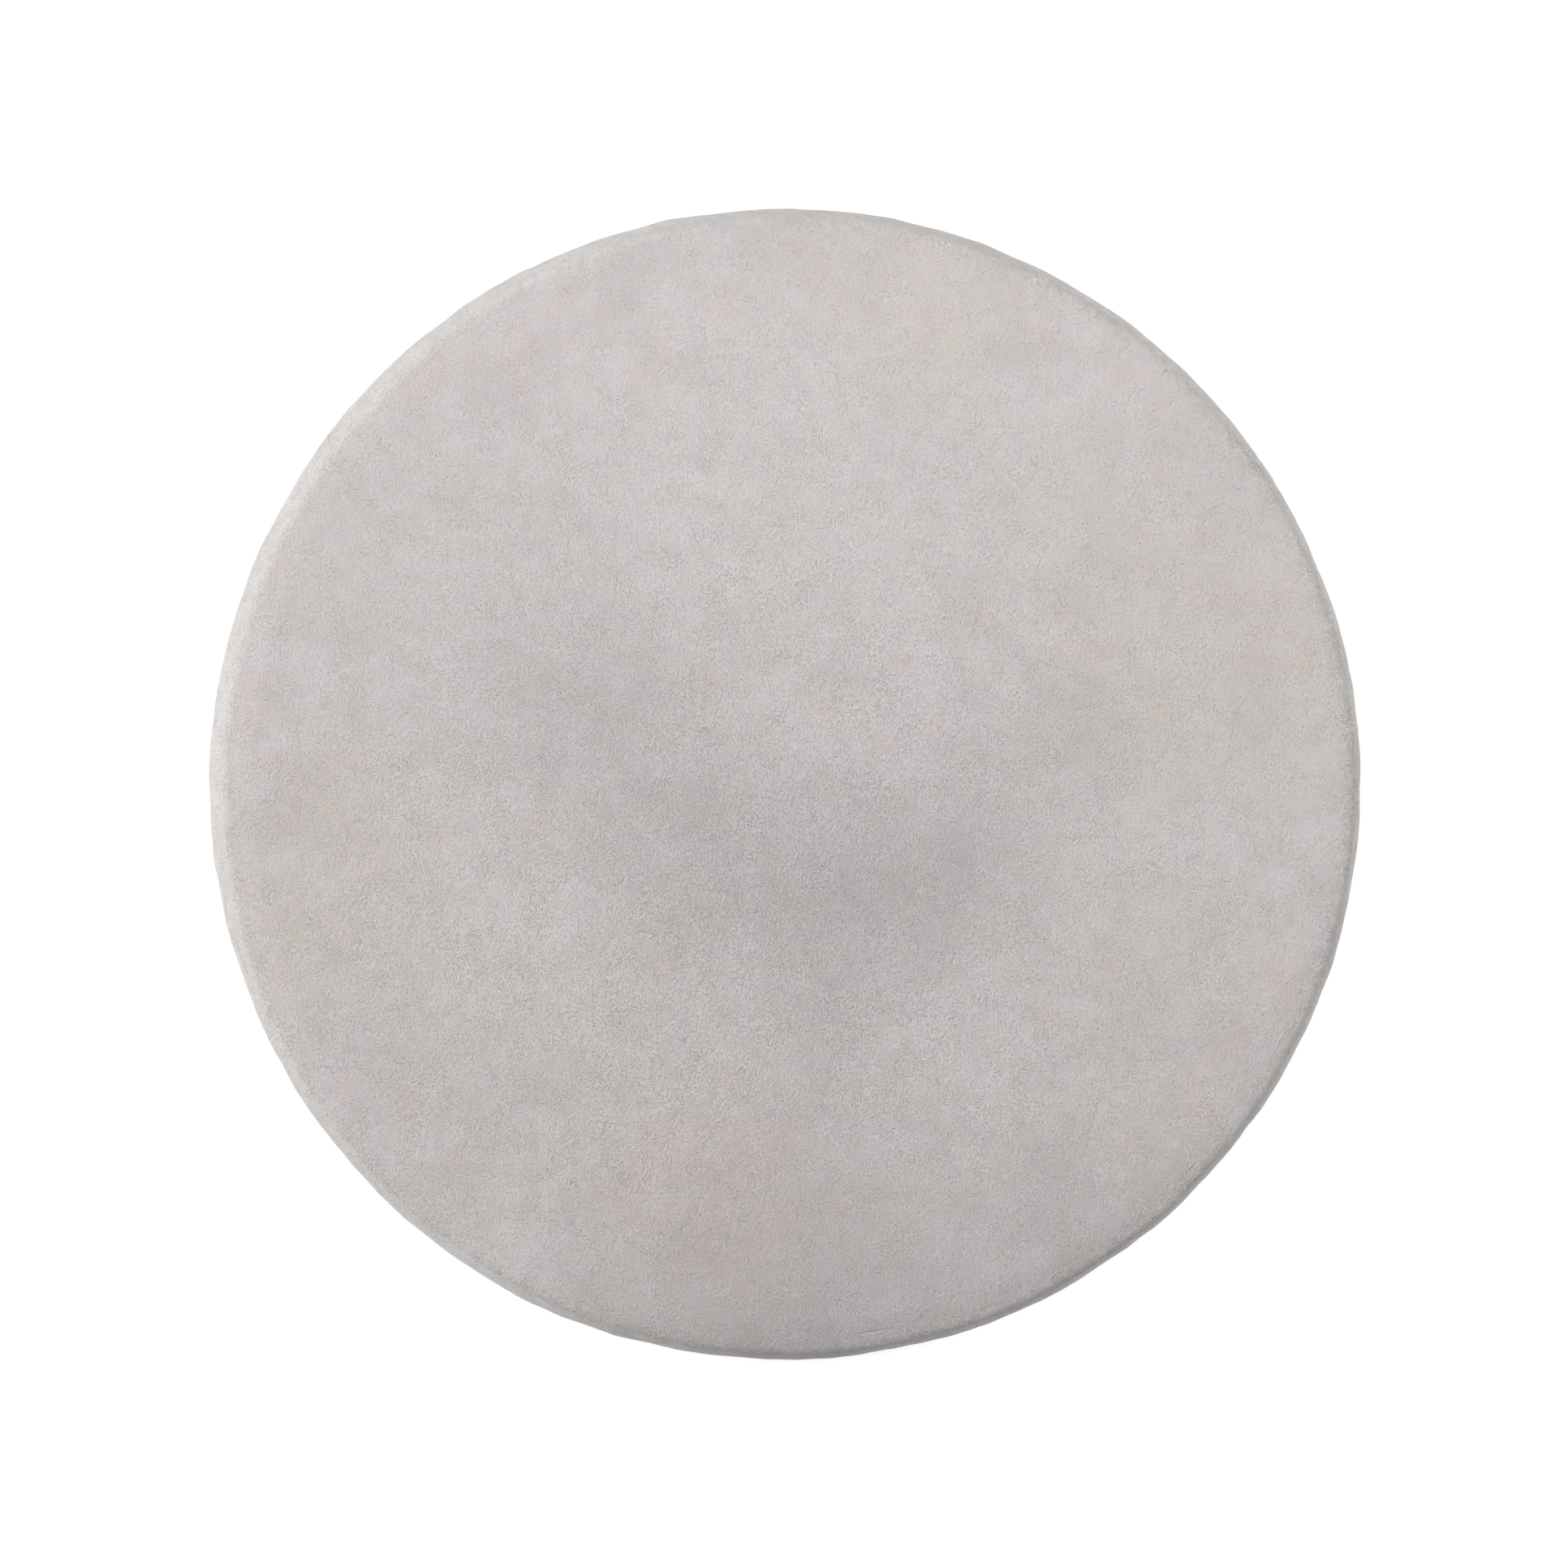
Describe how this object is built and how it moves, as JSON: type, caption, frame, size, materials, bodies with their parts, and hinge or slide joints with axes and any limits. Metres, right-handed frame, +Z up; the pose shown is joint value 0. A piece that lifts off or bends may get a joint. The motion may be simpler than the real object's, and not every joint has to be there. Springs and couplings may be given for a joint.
{
  "type": "cheese wheel",
  "caption": "Whole wheel of soft-ripened cheese: a low round drum with a felty white rind, a bellied side and a flat underside to rest on.",
  "frame": {"origin": "middle of the flat underside that the wheel rests on", "axes": "+Z up along the wheel's axis, from the underside to the top; +X to the right and +Y away from someone who looks down on the top with the lowest part of its sag nearest to them"},
  "size_m": [0.35, 0.35, 0.034],
  "materials": {
    "rind": "dry, felty white mould over straw-coloured cheese, quite matt"
  },
  "bodies": {
    "root": {"cheese_wheel": "rind"}
  },
  "joints": []
}
